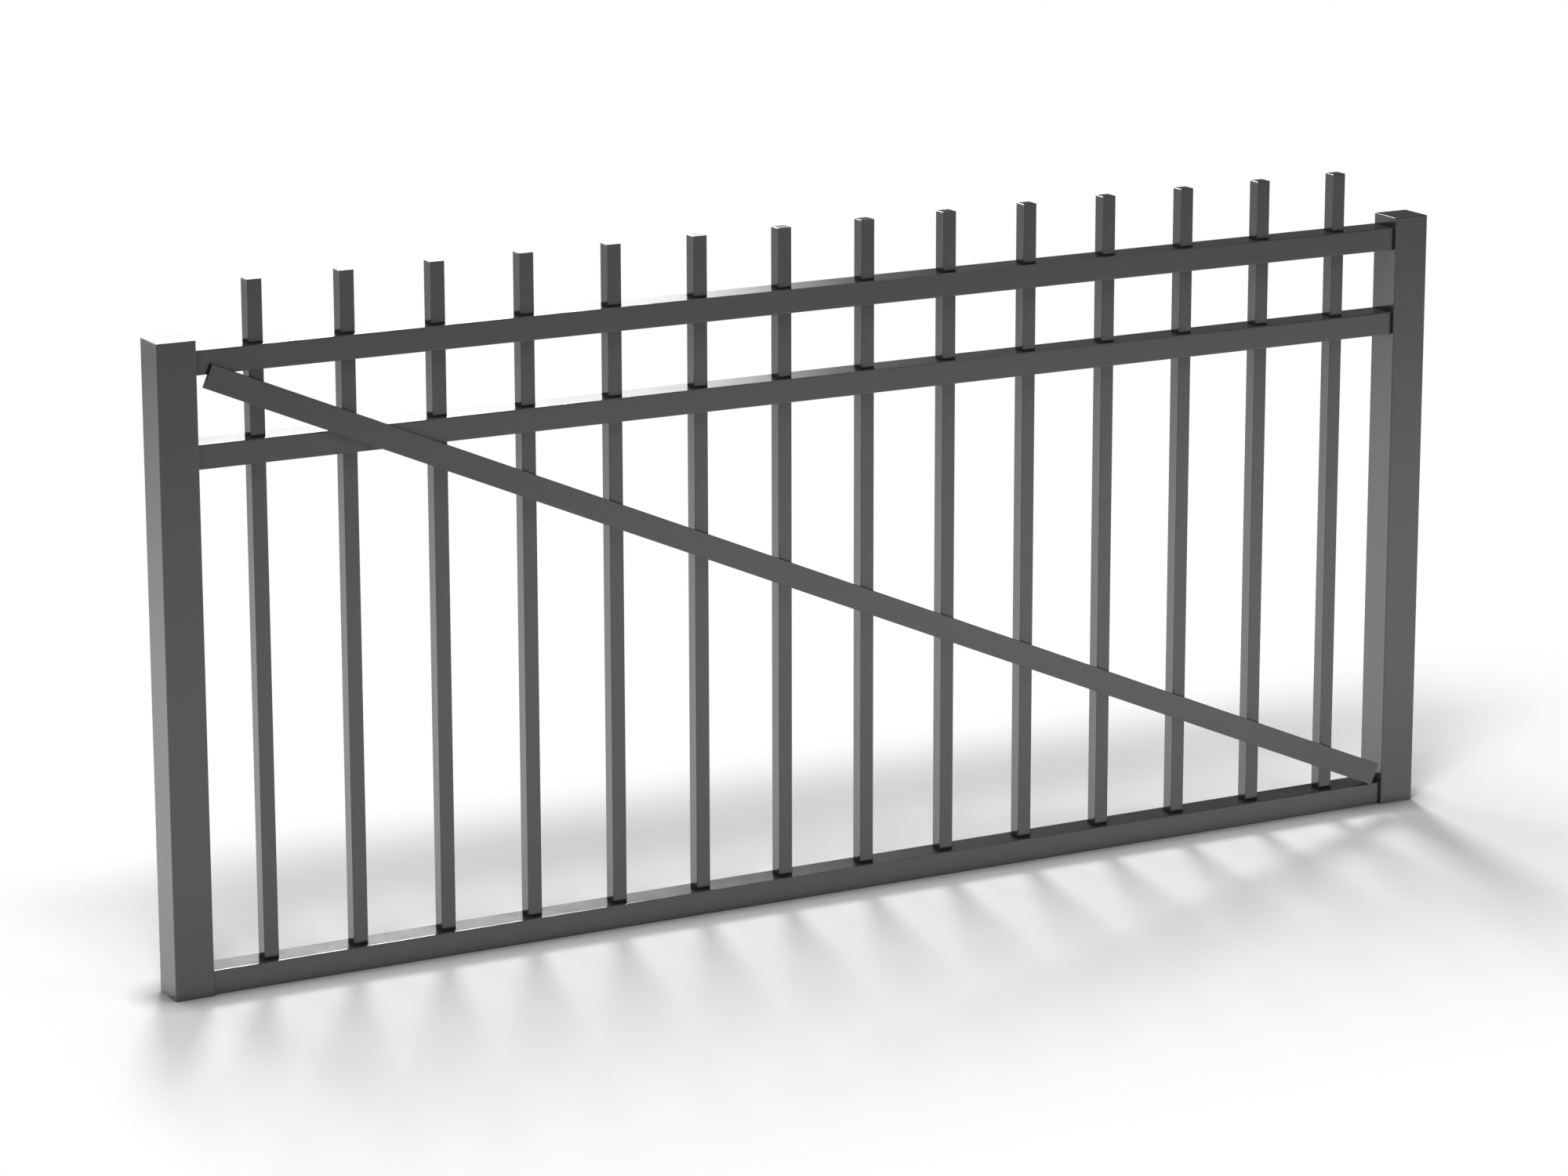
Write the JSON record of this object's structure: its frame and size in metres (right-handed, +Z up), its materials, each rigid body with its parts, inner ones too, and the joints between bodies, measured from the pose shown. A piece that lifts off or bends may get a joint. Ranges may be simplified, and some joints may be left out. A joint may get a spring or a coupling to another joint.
{
  "type": "steel driveway gate leaf",
  "caption": "Low steel driveway gate leaf with square end uprights, punched rails, square pickets standing above the top rail and a flat diagonal bar.",
  "frame": {"origin": "centre of the left upright's outer face, which is the hanging side", "axes": "+X along the leaf to the right upright, +Y to the back, +Z up; the diagonal bar is on the front, towards -Y"},
  "size_m": [1.8, 0.05, 0.866],
  "materials": {
    "gate_paint": "dark grey satin powder coat"
  },
  "bodies": {
    "root": {"left_upright": "gate_paint", "left_upright_cap": "gate_paint", "right_upright": "gate_paint", "right_upright_cap": "gate_paint", "top_rail": "gate_paint", "middle_rail": "gate_paint", "bottom_rail": "gate_paint", "picket_01": "gate_paint", "picket_cap_01": "gate_paint", "picket_02": "gate_paint", "picket_cap_02": "gate_paint", "picket_03": "gate_paint", "picket_cap_03": "gate_paint", "picket_04": "gate_paint", "picket_cap_04": "gate_paint", "picket_05": "gate_paint", "picket_cap_05": "gate_paint", "picket_06": "gate_paint", "picket_cap_06": "gate_paint", "picket_07": "gate_paint", "picket_cap_07": "gate_paint", "picket_08": "gate_paint", "picket_cap_08": "gate_paint", "picket_09": "gate_paint", "picket_cap_09": "gate_paint", "picket_10": "gate_paint", "picket_cap_10": "gate_paint", "picket_11": "gate_paint", "picket_cap_11": "gate_paint", "picket_12": "gate_paint", "picket_cap_12": "gate_paint", "picket_13": "gate_paint", "picket_cap_13": "gate_paint", "picket_14": "gate_paint", "picket_cap_14": "gate_paint", "diagonal_bar": "gate_paint"}
  },
  "joints": []
}
